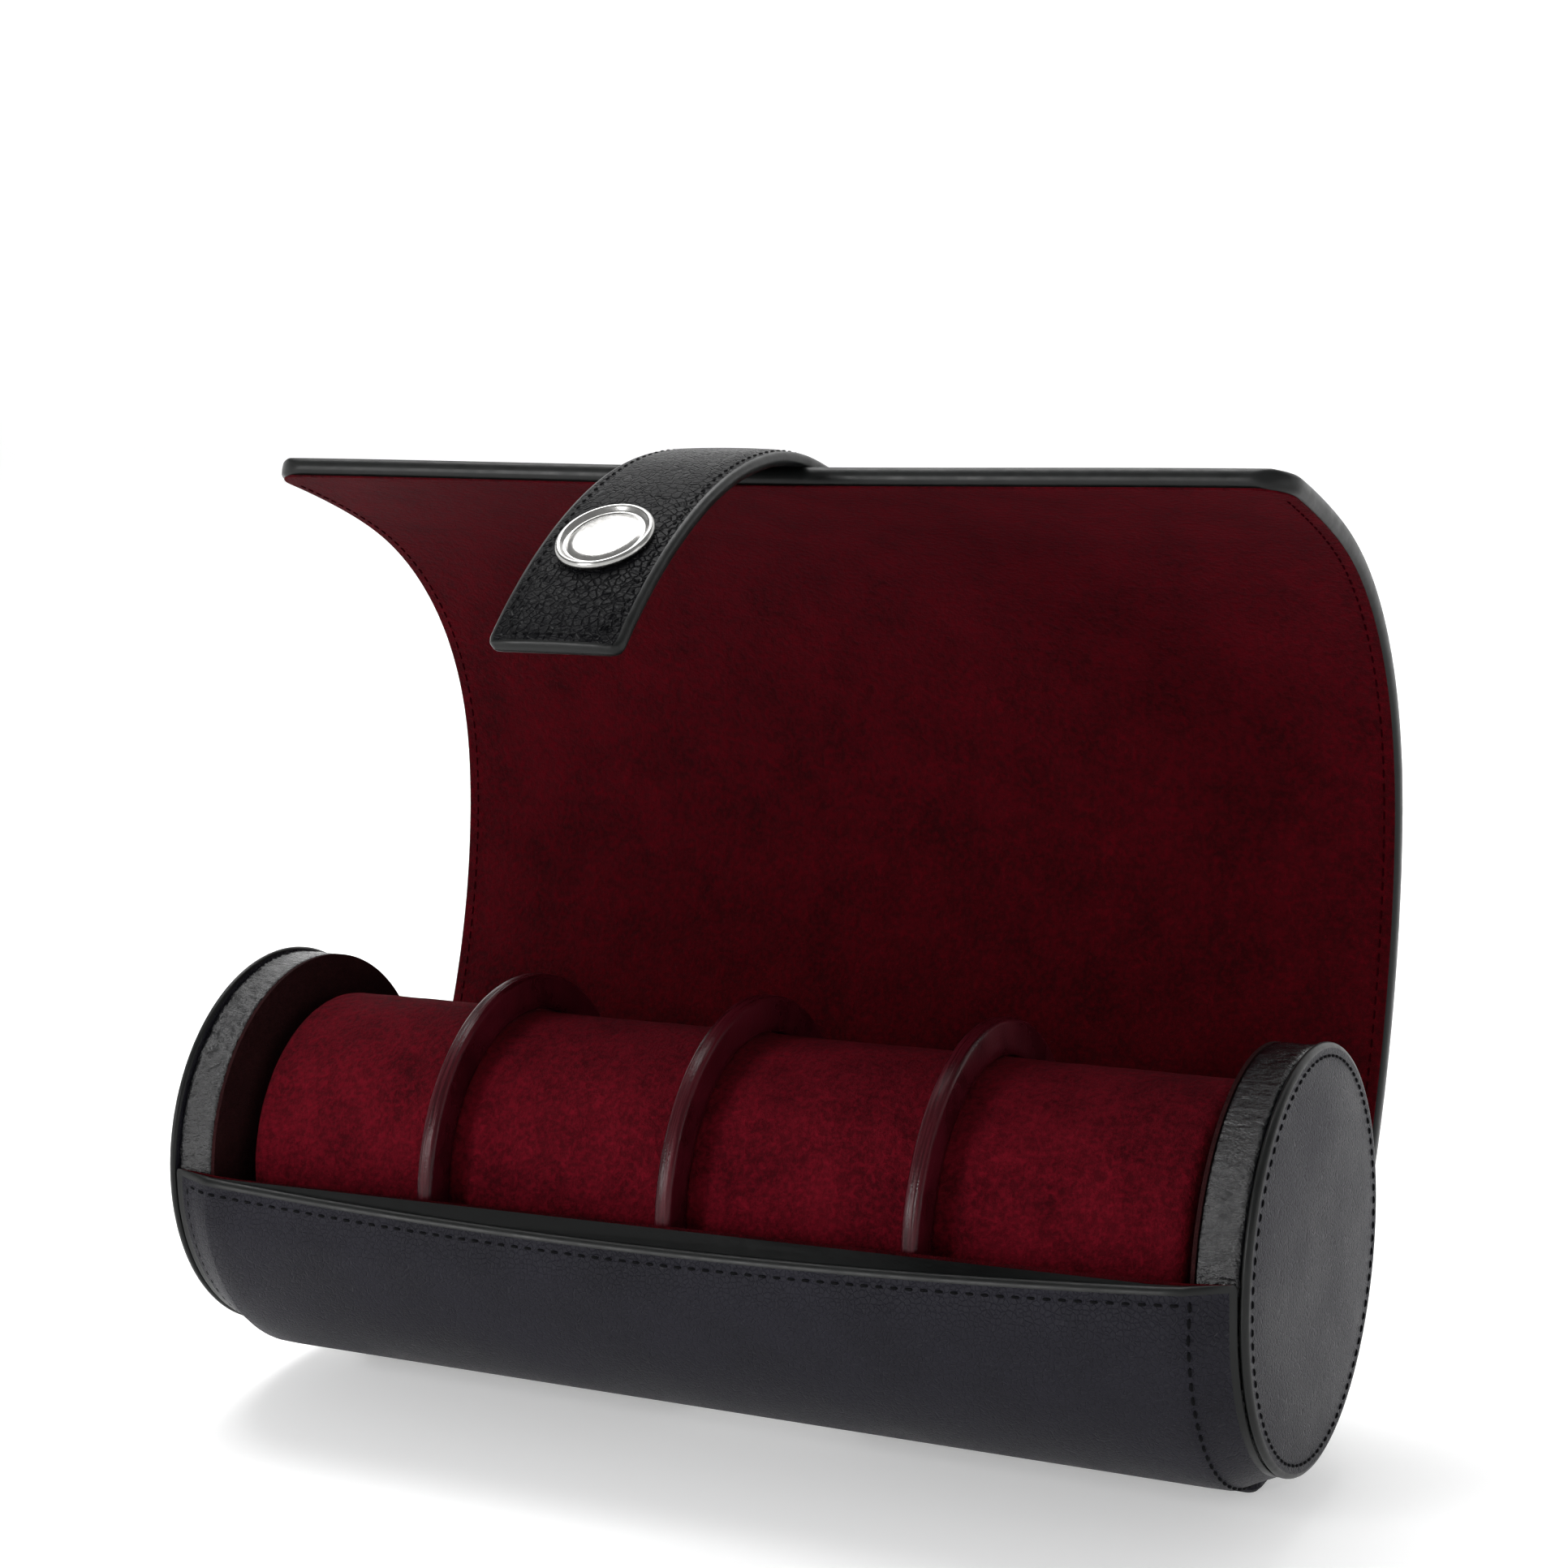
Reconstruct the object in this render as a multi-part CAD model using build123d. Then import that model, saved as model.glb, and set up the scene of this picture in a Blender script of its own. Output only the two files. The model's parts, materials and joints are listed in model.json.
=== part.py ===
from build123d import *
import math
import os

# Cylindrical leather roll case for watches: a half-open leather drum with round ends,
# a padded suede roll with sliding divider discs, and a flexible flap that wraps over
# the top and front and is held by a strap with a snap fastener.
# Working frame: the drum's axis is X, Y points to the back, Z up. Sections are drawn in
# the YZ plane and extruded along X. At the end everything is shifted so that the origin
# is at the middle of the whole object's box, at its bottom.

# Drum (mm)
DISC_RADIUS = 43.0          # outer end discs
HALF_LENGTH = 123.6
DISC_THICKNESS = 1.8
BORE_RADIUS = 42.4          # inside of the leather wrap
LINING = 1.0                # suede lining
BOARD = 2.2                 # stiffening board between lining and leather
LEATHER = 1.4
WALL = LINING + BOARD + LEATHER
WALL_TOP = 8.5              # front wall's top edge, above the axis
HINGE_ANGLE = -42.0         # where the wrap leaves the drum at the lower back
WRAP_MIDDLE = 248.0         # a direction on the wrap between its two ends

# End blocks
BLOCK_RADIUS = 41.0
BAND_RADIUS = 42.1          # leather band and inner facing, just clear of the lining
BLOCK_OUTER_X = 121.4
BLOCK_WIDTH = 8.8
CREVICE_RADIUS = 39.0
FACING = 0.8
PAD_RADIUS = 40.0
PAD_DEPTH = 0.8
DISC_EDGE = 0.8

# Roll and dividers
ROLL_RADIUS = 33.9
ROLL_HALF = 108.0
COVER = 0.9
CORE_OUTER = 26.0
CORE_WALL = 2.0
ROLL_PLUG = 2.0
DIVIDER_RADIUS = 42.0
DIVIDER_BORE = 34.2
DIVIDER_THICKNESS = 3.9
DIVIDER_CENTRES = (-58.0, -1.0, 54.0)
DIVIDER_BAND = 0.8
DIVIDER_FACING = 0.5

# Flap: six curved segments, each turning by its own angle, hinged on the lining's face
FLAP_HALF_WIDTH = 118.0
FLAP_HEADING = 38.0
FLAP_TURNS = (22.0, 14.0, 15.0, 35.0, 31.0, 7.0)
FLAP_SEGMENT = 39.1
FLAP_GAP = 4.5              # each end face leans back by this angle, so that the flap can bend
FLAP_CORNER = 8.0
BASE_GAP = 14.0

# Strap: a root stitched to the last flap segment and two free segments
STRAP_HALF_WIDTH = 14.5
STRAP_LEATHER = 1.8
STRAP_LINING = 1.2
STRAP_ROOT_LENGTH = 32.0
STRAP_STEP = 1.0
STRAP_KINK = 10.0
STRAP_LENGTHS = (42.0, 44.0)
STRAP_TURNS = (30.0, 22.0)
STRAP_GAP = 6.0
STRAP_CORNER = 5.0
CAP_RADIUS = 10.0
CAP_HEIGHT = 1.6
CAP_PLACE = 16.0            # along the last strap segment
SOCKET_OUTER = 7.5
SOCKET_BORE = 5.5
SOCKET_DEPTH = 0.9

# Snap stud at the lower back, and the base runners
STUD_ANGLE = 307.0
STUD_RADIUS = 4.0
STUD_HEIGHT = 0.7
WASHER_RADIUS = 7.0
WASHER_LOW = 44.0            # the washer lies inside the board
WASHER_HIGH = 44.6
RUNNER_BOTTOM = -53.5
RUNNER_TOP = -33.0          # inside the drum, where it is cut to the wrap
RUNNER_FRONT = 4.0
RUNNER_BACK = 28.0
RUNNER_INNER_X = 20.0
RUNNER_OUTER_X = 110.0
RUNNER_CORNER = 3.0
RUNNER_CHAMFER = 1.0

DISC_INNER_X = HALF_LENGTH - DISC_THICKNESS
BLOCK_INNER_X = BLOCK_OUTER_X - BLOCK_WIDTH
WALL_RADIUS = BORE_RADIUS + WALL


def polar(radius, degrees):
    a = math.radians(degrees)
    return (radius * math.cos(a), radius * math.sin(a))


def disc(radius, x_low, x_high):
    plane = Plane.YZ.offset(x_low)
    return extrude(plane * Circle(radius), x_high - x_low)


def ring(outer, inner, x_low, x_high):
    plane = Plane.YZ.offset(x_low)
    return extrude(plane * (Circle(outer) - Circle(inner)), x_high - x_low)


def prism(edges, half_width):
    face = make_face(Curve() + edges)
    plane = Plane.YZ.offset(-half_width)
    return extrude(plane * face, 2 * half_width)


def both(maker, name):
    """The right-hand piece and its mirror image on the left."""
    right = maker()
    return {name + "_right": right, name + "_left": mirror(right, about=Plane.YZ)}


# --- the drum's wrap -------------------------------------------------------------

def wrap_layer(inner, outer):
    """One layer of the fixed wrap, from the front wall's top round the bottom to the hinge."""
    def end_point(radius):
        back = (radius - BORE_RADIUS) * math.tan(math.radians(BASE_GAP)) / radius
        return polar(radius, HINGE_ANGLE - math.degrees(back))

    def layer_arc(radius, end):
        return ThreePointArc((-radius, 0), polar(radius, WRAP_MIDDLE), end)

    in_end = end_point(inner)
    out_end = end_point(outer)
    edges = [
        Line((-inner, WALL_TOP), (-inner, 0)),
        layer_arc(inner, in_end),
        Line(in_end, out_end),
        layer_arc(outer, out_end),
        Line((-outer, 0), (-outer, WALL_TOP)),
        Line((-outer, WALL_TOP), (-inner, WALL_TOP)),
    ]
    return prism(edges, DISC_INNER_X)


def wrap():
    r1 = BORE_RADIUS + LINING
    r2 = r1 + BOARD
    stud_hole = stud_cylinder(STUD_RADIUS / 2, r1, WALL_RADIUS + 1)
    washer_seat = stud_cylinder(WASHER_RADIUS, WASHER_LOW, WASHER_HIGH)
    return {
        "wrap_lining": wrap_layer(BORE_RADIUS, r1),
        "wrap_board": wrap_layer(r1, r2) - stud_hole - washer_seat,
        "wrap_leather": wrap_layer(r2, WALL_RADIUS) - stud_hole,
    }


def stud_cylinder(radius, low, high):
    """A cylinder on the stud's radial axis, between two distances from the drum's axis."""
    y, z = polar(low, STUD_ANGLE)
    dy, dz = polar(1.0, STUD_ANGLE)
    plane = Plane(origin=(0, y, z), x_dir=(1, 0, 0), z_dir=(0, dy, dz))
    return extrude(plane * Circle(radius), high - low)


def snap_stud():
    r1 = BORE_RADIUS + LINING
    r2 = r1 + BOARD
    shank = stud_cylinder(STUD_RADIUS / 2, r2, WALL_RADIUS)
    head = stud_cylinder(STUD_RADIUS, WALL_RADIUS, WALL_RADIUS + STUD_HEIGHT)
    washer = stud_cylinder(WASHER_RADIUS, WASHER_LOW, WASHER_HIGH)
    hole = stud_cylinder(STUD_RADIUS / 2, r1, r2)
    rivet = stud_cylinder(STUD_RADIUS / 2, r1, r2)
    return {"snap_stud": shank + head + rivet, "stud_washer": washer - hole}


def base_runners():
    """Two leather-covered runners that give the round drum a flat underside."""
    drum = disc(WALL_RADIUS, -HALF_LENGTH, HALF_LENGTH)
    depth = RUNNER_BACK - RUNNER_FRONT
    length = RUNNER_OUTER_X - RUNNER_INNER_X
    middle_y = (RUNNER_BACK + RUNNER_FRONT) / 2
    height = RUNNER_TOP - RUNNER_BOTTOM
    block = Box(length, depth, height, align=(Align.CENTER, Align.CENTER, Align.MIN))
    block = fillet(block.edges().filter_by(Axis.Z), RUNNER_CORNER)
    block = chamfer(block.faces().sort_by(Axis.Z)[0].edges(), RUNNER_CHAMFER)
    middle_x = (RUNNER_OUTER_X + RUNNER_INNER_X) / 2
    right = Pos(middle_x, middle_y, RUNNER_BOTTOM) * block - drum
    return {"base_runners": Compound([right, mirror(right, about=Plane.YZ)])}


# --- the round ends --------------------------------------------------------------

def end_block():
    return disc(BLOCK_RADIUS, BLOCK_INNER_X, BLOCK_OUTER_X) + disc(CREVICE_RADIUS, BLOCK_OUTER_X, DISC_INNER_X)


def rim_band():
    return ring(BAND_RADIUS, BLOCK_RADIUS, BLOCK_INNER_X, BLOCK_OUTER_X)


def end_facing():
    return disc(BAND_RADIUS, BLOCK_INNER_X - FACING, BLOCK_INNER_X)


def end_pad():
    return disc(PAD_RADIUS, DISC_INNER_X, DISC_INNER_X + PAD_DEPTH)


def end_cap():
    cap = disc(DISC_RADIUS, DISC_INNER_X, HALF_LENGTH)
    rim = cap.edges().filter_by(GeomType.CIRCLE).sort_by(Axis.X)[-1]
    return fillet(rim, DISC_EDGE) - end_pad()


# --- the roll and its dividers ---------------------------------------------------

def roll():
    inside = ROLL_RADIUS - COVER
    plug_x = ROLL_HALF - ROLL_PLUG
    pieces = {
        "roll_core": ring(CORE_OUTER, CORE_OUTER - CORE_WALL, -plug_x, plug_x),
        "roll_padding": ring(inside, CORE_OUTER, -plug_x, plug_x),
        "roll_cover": ring(ROLL_RADIUS, inside, -ROLL_HALF, ROLL_HALF),
    }
    pieces.update(both(lambda: disc(inside, plug_x, ROLL_HALF), "roll_end"))
    return pieces


def divider(number, centre):
    half = DIVIDER_THICKNESS / 2
    core = half - DIVIDER_FACING
    inside = DIVIDER_RADIUS - DIVIDER_BAND
    name = "divider_" + str(number)
    return {
        name + "_board": ring(inside, DIVIDER_BORE, centre - core, centre + core),
        name + "_facings": Compound([
            ring(inside, DIVIDER_BORE, centre + core, centre + half),
            ring(inside, DIVIDER_BORE, centre - half, centre - core),
        ]),
        name + "_edge_band": ring(DIVIDER_RADIUS, inside, centre - half, centre + half),
    }


# --- flap and strap: curved segments in a chain ------------------------------------

class Segment:
    """A strip that starts at a point with a heading and turns evenly over its length."""

    def __init__(self, start, heading, turn, length):
        self.start = start
        self.heading = heading
        self.turn = turn
        self.length = length

    def place(self, s, offset):
        """The point at length s along the strip, moved outwards by the offset."""
        turned = math.radians(self.turn * s / self.length)
        chord = s * math.sin(turned / 2) / (turned / 2) if turned else s
        h = math.radians(self.heading)
        y = self.start[0] + chord * math.cos(h + turned / 2) + offset * math.sin(h + turned)
        z = self.start[1] + chord * math.sin(h + turned / 2) - offset * math.cos(h + turned)
        return (y, z)

    def end(self):
        return self.place(self.length, 0)

    def end_heading(self):
        return self.heading + self.turn

    def layer(self, low, high, half_width, gap_start, gap_end, s_start=0.0):
        """A layer between two offsets; its end faces lean back on the outer side."""
        lean_start = math.tan(math.radians(gap_start))
        lean_end = math.tan(math.radians(gap_end))
        middle = (s_start + self.length) / 2

        def corners(offset):
            first = self.place(s_start + offset * lean_start, offset)
            last = self.place(self.length - offset * lean_end, offset)
            return first, self.place(middle, offset), last

        a0, a1, a2 = corners(low)
        b0, b1, b2 = corners(high)
        edges = [ThreePointArc(a0, a1, a2), Line(a2, b2), ThreePointArc(b2, b1, b0), Line(b0, a0)]
        return prism(edges, half_width)


def chain(start, heading, turns, lengths):
    segments = []
    for turn, length in zip(turns, lengths):
        segment = Segment(start, heading, turn, length)
        segments.append(segment)
        start = segment.end()
        heading = segment.end_heading()
    return segments


def round_corners(shape, segment, half_width, radius, thickness):
    """Round the two corners at a strip's free end."""
    y, z = segment.end()

    def at_free_corner(edge):
        middle = edge.center()
        near = math.hypot(middle.Y - y, middle.Z - z) < thickness * 2
        return near and abs(abs(middle.X) - half_width) < 0.01 and edge.length < thickness * 1.5

    return fillet([e for e in shape.edges() if at_free_corner(e)], radius)


def flap_segments():
    pivot = polar(BORE_RADIUS, HINGE_ANGLE)
    return chain(pivot, FLAP_HEADING, FLAP_TURNS, [FLAP_SEGMENT] * len(FLAP_TURNS))


def flap():
    pieces = {}
    segments = flap_segments()
    for number, segment in enumerate(segments, 1):
        last = number == len(segments)
        gap_end = 0.0 if last else FLAP_GAP
        lining = segment.layer(0.0, LINING, FLAP_HALF_WIDTH, FLAP_GAP, gap_end)
        leather = segment.layer(LINING, WALL, FLAP_HALF_WIDTH, FLAP_GAP, gap_end)
        if last:
            lining = round_corners(lining, segment, FLAP_HALF_WIDTH, FLAP_CORNER, WALL)
            leather = round_corners(leather, segment, FLAP_HALF_WIDTH, FLAP_CORNER, WALL)
        pieces["flap_lining_" + str(number)] = lining
        pieces["flap_leather_" + str(number)] = leather
    return pieces


def strap_segments():
    last = flap_segments()[-1]
    edge = last.place(last.length, WALL)
    heading = last.end_heading()
    h = math.radians(heading)
    pivot = (edge[0] + STRAP_STEP * math.cos(h), edge[1] + STRAP_STEP * math.sin(h))
    return chain(pivot, heading + STRAP_KINK, STRAP_TURNS, STRAP_LENGTHS)


def snap_plane(segment, offset):
    """A plane on the strip's outer side at the snap, facing outwards."""
    y, z = segment.place(CAP_PLACE, offset)
    y1, z1 = segment.place(CAP_PLACE, offset + 1)
    return Plane(origin=(0, y, z), x_dir=(1, 0, 0), z_dir=(0, y1 - y, z1 - z))


def strap():
    thickness = STRAP_LINING + STRAP_LEATHER
    last = flap_segments()[-1]
    first, second = strap_segments()
    root = last.layer(WALL, WALL + thickness, STRAP_HALF_WIDTH, 0, 0, last.length - STRAP_ROOT_LENGTH)
    width = STRAP_HALF_WIDTH
    lining_b = second.layer(0, STRAP_LINING, width, STRAP_GAP, 0)
    leather_b = second.layer(STRAP_LINING, thickness, width, STRAP_GAP, 0)
    lining_b = round_corners(lining_b, second, width, STRAP_CORNER, thickness)
    leather_b = round_corners(leather_b, second, width, STRAP_CORNER, thickness)
    seat = extrude(snap_plane(second, -1.0) * Circle(SOCKET_OUTER), SOCKET_DEPTH + 1.0)
    socket = extrude(snap_plane(second, 0.0) * (Circle(SOCKET_OUTER) - Circle(SOCKET_BORE)), SOCKET_DEPTH)
    cap = extrude(snap_plane(second, thickness) * Circle(CAP_RADIUS), CAP_HEIGHT)
    rim = extrude(snap_plane(second, thickness - 1.0) * Circle(CAP_RADIUS - 1.0), 1.0)
    return {
        "strap_root": root,
        "strap_lining_a": first.layer(0, STRAP_LINING, width, STRAP_GAP, STRAP_GAP),
        "strap_leather_a": first.layer(STRAP_LINING, thickness, width, STRAP_GAP, STRAP_GAP),
        "strap_lining_b": lining_b - seat,
        "strap_leather_b": leather_b - cap - rim,
        "snap_cap": cap + rim,
        "snap_socket": socket,
    }


def build():
    pieces = {}
    pieces.update(wrap())
    pieces.update(snap_stud())
    pieces.update(base_runners())
    for maker in (end_block, rim_band, end_facing, end_pad, end_cap):
        pieces.update(both(maker, maker.__name__))
    pieces.update(roll())
    for number, centre in enumerate(DIVIDER_CENTRES, 1):
        pieces.update(divider(number, centre))
    pieces.update(flap())
    pieces.update(strap())
    return pieces


def whole_box(pieces):
    boxes = [shape.bounding_box() for shape in pieces.values()]
    low = Vector(*[min(tuple(b.min)[i] for b in boxes) for i in range(3)])
    high = Vector(*[max(tuple(b.max)[i] for b in boxes) for i in range(3)])
    return low, high


parts = build()
low_corner, high_corner = whole_box(parts)
centre = (low_corner + high_corner) / 2
shift = Vector(-centre.X, -centre.Y, -low_corner.Z)
os.makedirs("parts", exist_ok=True)
for node, shape in parts.items():
    export_step(Pos(shift.X, shift.Y, shift.Z) * shape, "parts/" + node + ".step")
print("nodes", len(parts), "shift", shift, "low", low_corner, "high", high_corner)
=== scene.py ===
import json
import math

import bmesh
import bpy
import numpy as np
from mathutils import Matrix, Vector, noise


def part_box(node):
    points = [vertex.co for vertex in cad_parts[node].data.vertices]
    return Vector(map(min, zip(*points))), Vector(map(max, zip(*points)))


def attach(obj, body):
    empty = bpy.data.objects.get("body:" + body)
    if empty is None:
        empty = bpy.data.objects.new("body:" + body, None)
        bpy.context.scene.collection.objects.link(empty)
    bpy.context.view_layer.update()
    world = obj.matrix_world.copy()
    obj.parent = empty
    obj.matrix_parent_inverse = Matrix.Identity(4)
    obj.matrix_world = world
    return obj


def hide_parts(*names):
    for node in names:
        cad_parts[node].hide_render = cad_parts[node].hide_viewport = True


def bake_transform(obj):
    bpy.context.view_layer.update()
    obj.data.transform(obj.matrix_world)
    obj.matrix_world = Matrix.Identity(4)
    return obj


# A cylindrical leather watch roll case, open, on a pale floor. Everything is in metres in the
# row frame. Sections are worked out in millimetres around the drum's axis, with S = 0 at the
# flap's hinge line, growing towards the flap's free edge.

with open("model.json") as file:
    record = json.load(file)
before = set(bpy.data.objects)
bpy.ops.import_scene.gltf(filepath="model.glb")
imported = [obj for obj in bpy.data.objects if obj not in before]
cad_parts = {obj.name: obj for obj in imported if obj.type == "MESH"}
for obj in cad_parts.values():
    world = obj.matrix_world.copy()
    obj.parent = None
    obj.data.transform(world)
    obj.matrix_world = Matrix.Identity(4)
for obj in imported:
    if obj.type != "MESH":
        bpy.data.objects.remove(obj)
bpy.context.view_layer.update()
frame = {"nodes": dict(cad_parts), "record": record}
MM = 0.001

# The drum, from the frame
cap_low, cap_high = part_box("end_cap_right")
AXIS = ((cap_low.y + cap_high.y) / 2 / MM, (cap_low.z + cap_high.z) / 2 / MM)
DISC_R = (cap_high.y - cap_low.y) / 2 / MM
HALF_LENGTH = cap_high.x / MM
DISC_INNER_X = cap_low.x / MM
BLOCK_LOW, BLOCK_HIGH = (c.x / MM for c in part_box("rim_band_right"))
ROLL_LOW, ROLL_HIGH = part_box("roll_cover")
ROLL_R = (ROLL_HIGH.y - ROLL_LOW.y) / 2 / MM
ROLL_HALF = ROLL_HIGH.x / MM
FLAP_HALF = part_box("flap_leather_3")[1].x / MM

# Wall layers, curvature and the strap in millimetres and degrees, as in the CAD part
BORE_R = 42.4
WALL = 4.6
STITCH_TOP = WALL - 0.14     # stitches sit a little in the leather
WALL_TOP = 8.5
HINGE_ANGLE = math.radians(-42.0)
FLAP_TURNS = (22.0, 14.0, 15.0, 35.0, 31.0, 7.0)
SEGMENT = 39.1
FLAP_HEADING = 38.0
FLAP_LENGTH = SEGMENT * len(FLAP_TURNS)
WRAP_LENGTH = BORE_R * (HINGE_ANGLE - math.radians(-180.0)) + WALL_TOP
BASE_BLEND = 22.0            # how far before the hinge the stretch across the hinge starts
STRAP_HALF = 14.5
STRAP_THICK = 3.0
STRAP_ROOT = 32.0
STRAP_LENGTHS = (42.0, 44.0)
STRAP_TURNS = (30.0, 22.0)
STRAP_KINK = 10.0
STRAP_CLIP = 1.6
CAP_PLACE = 16.0
CAP_R = 10.0
DIVIDER_BORE = 34.2

# Soft shapes that only the visual model has
EDGE_SAG = 0.8               # the flap's free edge, in its middle
SAG_START = 165.0
BOW_MIDDLE = 4.75            # how far the front wall's top drops in its middle
BOW_SLOPE = 2.25             # and towards its left end
BOW_REACH = 36.0
TUCK_SHARE = 0.88            # how much of the wrap's thickness goes beside the discs
TUCK_WIDE = 11.0
TUCK_NARROW = 1.5
TOP_PARED = 0.3              # how much of it goes along the wall's top
TOP_REACH = 12.0
FLAP_CORNER = 8.0

# Stitching
STITCH_SIDE = 3.2            # from the flap's side edges
STITCH_END = 3.4             # from the wall's top and the flap's free edge
STITCH_RIGHT = 5.0           # further in on the right of the front wall
STRAP_STITCH_SIDE = 2.6
STRAP_STITCH_END = 2.8
DISC_STITCH_R = 40.3

CAMERA_PLACE = (301.3, -581.8, 210.9)      # from the drum's middle, mm
CAMERA_YAW = 0.4652
CAMERA_PITCH = -0.1847
CAMERA_ROLL = -0.0314
CAMERA_LENS = 73.03


# --- materials ---------------------------------------------------------------------

def new_material(name):
    material = bpy.data.materials.new(name)
    material.use_nodes = True
    tree = material.node_tree
    shader = tree.nodes["Principled BSDF"]
    place = tree.nodes.new("ShaderNodeTexCoord")
    return material, tree, shader, place.outputs["Object"]


def noise_node(tree, place, scale, detail=4.0, rough=0.55, stretch=None):
    source = place
    if stretch:
        mapping = tree.nodes.new("ShaderNodeMapping")
        mapping.inputs["Scale"].default_value = stretch
        tree.links.new(place, mapping.inputs["Vector"])
        source = mapping.outputs["Vector"]
    node = tree.nodes.new("ShaderNodeTexNoise")
    node.inputs["Scale"].default_value = scale
    node.inputs["Detail"].default_value = detail
    node.inputs["Roughness"].default_value = rough
    tree.links.new(source, node.inputs["Vector"])
    return node.outputs["Fac"]


def cells_node(tree, place, scale):
    node = tree.nodes.new("ShaderNodeTexVoronoi")
    node.feature = "DISTANCE_TO_EDGE"
    node.inputs["Scale"].default_value = scale
    tree.links.new(place, node.inputs["Vector"])
    return node.outputs["Distance"]


def ramp(tree, value, low, high, low_color, high_color):
    node = tree.nodes.new("ShaderNodeValToRGB")
    node.color_ramp.elements[0].position = low
    node.color_ramp.elements[1].position = high
    node.color_ramp.elements[0].color = (*low_color, 1)
    node.color_ramp.elements[1].color = (*high_color, 1)
    tree.links.new(value, node.inputs["Fac"])
    return node.outputs["Color"]


def value_range(tree, value, low, high, out_low, out_high):
    node = tree.nodes.new("ShaderNodeMapRange")
    node.inputs["From Min"].default_value = low
    node.inputs["From Max"].default_value = high
    node.inputs["To Min"].default_value = out_low
    node.inputs["To Max"].default_value = out_high
    tree.links.new(value, node.inputs["Value"])
    return node.outputs["Result"]


def bump(tree, height, distance, strength, before=None):
    node = tree.nodes.new("ShaderNodeBump")
    node.inputs["Distance"].default_value = distance
    node.inputs["Strength"].default_value = strength
    tree.links.new(height, node.inputs["Height"])
    if before:
        tree.links.new(before, node.inputs["Normal"])
    return node.outputs["Normal"]


def leather(name, dark, light, grain, depth, rough, specular):
    """Grained leather: cell creases of a given scale, pores, and slight changes of colour and gloss."""
    material, tree, shader, place = new_material(name)
    patches = noise_node(tree, place, 45, 3)
    pores = noise_node(tree, place, grain * 2.4, 2)
    creases = cells_node(tree, place, grain)
    crease_height = value_range(tree, creases, 0.0, 0.12, 0.0, 1.0)
    tree.links.new(ramp(tree, patches, 0.3, 0.7, dark, light), shader.inputs["Base Color"])
    gloss = value_range(tree, patches, 0.3, 0.7, rough - 0.05, rough + 0.07)
    tree.links.new(gloss, shader.inputs["Roughness"])
    first = bump(tree, pores, depth * 0.6, 0.5)
    tree.links.new(bump(tree, crease_height, depth, 0.6, first), shader.inputs["Normal"])
    shader.inputs["Specular IOR Level"].default_value = specular
    return material


def crinkled(name, dark, light):
    """Glossy leather gathered into fine wrinkles."""
    material, tree, shader, place = new_material(name)
    folds = noise_node(tree, place, 520, 5, 0.62, (0.5, 1.0, 1.0))
    fine = cells_node(tree, place, 900)
    tree.links.new(ramp(tree, folds, 0.35, 0.65, dark, light), shader.inputs["Base Color"])
    tree.links.new(value_range(tree, folds, 0.3, 0.7, 0.1, 0.24), shader.inputs["Roughness"])
    first = bump(tree, folds, 0.0012, 1.0)
    tree.links.new(bump(tree, fine, 0.0002, 0.4, first), shader.inputs["Normal"])
    shader.inputs["Specular IOR Level"].default_value = 0.5
    return material


def suede(name, dark, light, sheen):
    """Napped suede: brushed patches, fibre speckle and a soft sheen."""
    material, tree, shader, place = new_material(name)
    patches = value_range(tree, noise_node(tree, place, 70, 6, 0.68), 0.36, 0.64, 0.0, 0.42)
    speckle = value_range(tree, noise_node(tree, place, 760, 4, 0.7), 0.38, 0.62, 0.0, 1.0)
    mix = tree.nodes.new("ShaderNodeMath")
    mix.operation = "MULTIPLY_ADD"
    mix.inputs[1].default_value = 0.58
    tree.links.new(speckle, mix.inputs[0])
    tree.links.new(patches, mix.inputs[2])
    tree.links.new(ramp(tree, mix.outputs[0], 0.05, 0.95, dark, light), shader.inputs["Base Color"])
    tree.links.new(value_range(tree, speckle, 0.0, 1.0, 0.86, 1.0), shader.inputs["Roughness"])
    first = bump(tree, patches, 0.0006, 0.4)
    tree.links.new(bump(tree, speckle, 0.0003, 0.9, first), shader.inputs["Normal"])
    shader.inputs["Sheen Weight"].default_value = sheen
    shader.inputs["Sheen Roughness"].default_value = 0.4
    shader.inputs["Sheen Tint"].default_value = (0.60, 0.05, 0.09, 1)
    shader.inputs["Specular IOR Level"].default_value = 0.05
    return material


def edge_paint(name, color, rough, specular):
    """Painted leather edge, slightly uneven."""
    material, tree, shader, place = new_material(name)
    wobble = noise_node(tree, place, 260, 3)
    light = tuple(c * 1.5 for c in color)
    tree.links.new(ramp(tree, wobble, 0.3, 0.7, color, light), shader.inputs["Base Color"])
    tree.links.new(value_range(tree, wobble, 0.3, 0.7, rough, rough + 0.12), shader.inputs["Roughness"])
    tree.links.new(bump(tree, wobble, 0.0002, 0.4), shader.inputs["Normal"])
    shader.inputs["Specular IOR Level"].default_value = specular
    return material


def polished_rim(name, dark, light):
    """Polished dyed leather rim with fine streaks round the edge."""
    material, tree, shader, place = new_material(name)
    streaks = noise_node(tree, place, 500, 3, 0.6, (3.0, 0.12, 0.12))
    grain = cells_node(tree, place, 1100)
    tree.links.new(ramp(tree, streaks, 0.35, 0.65, dark, light), shader.inputs["Base Color"])
    tree.links.new(value_range(tree, streaks, 0.3, 0.7, 0.2, 0.36), shader.inputs["Roughness"])
    first = bump(tree, streaks, 0.0003, 0.5)
    tree.links.new(bump(tree, grain, 0.00015, 0.3, first), shader.inputs["Normal"])
    shader.inputs["Specular IOR Level"].default_value = 0.15
    return material


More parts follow.
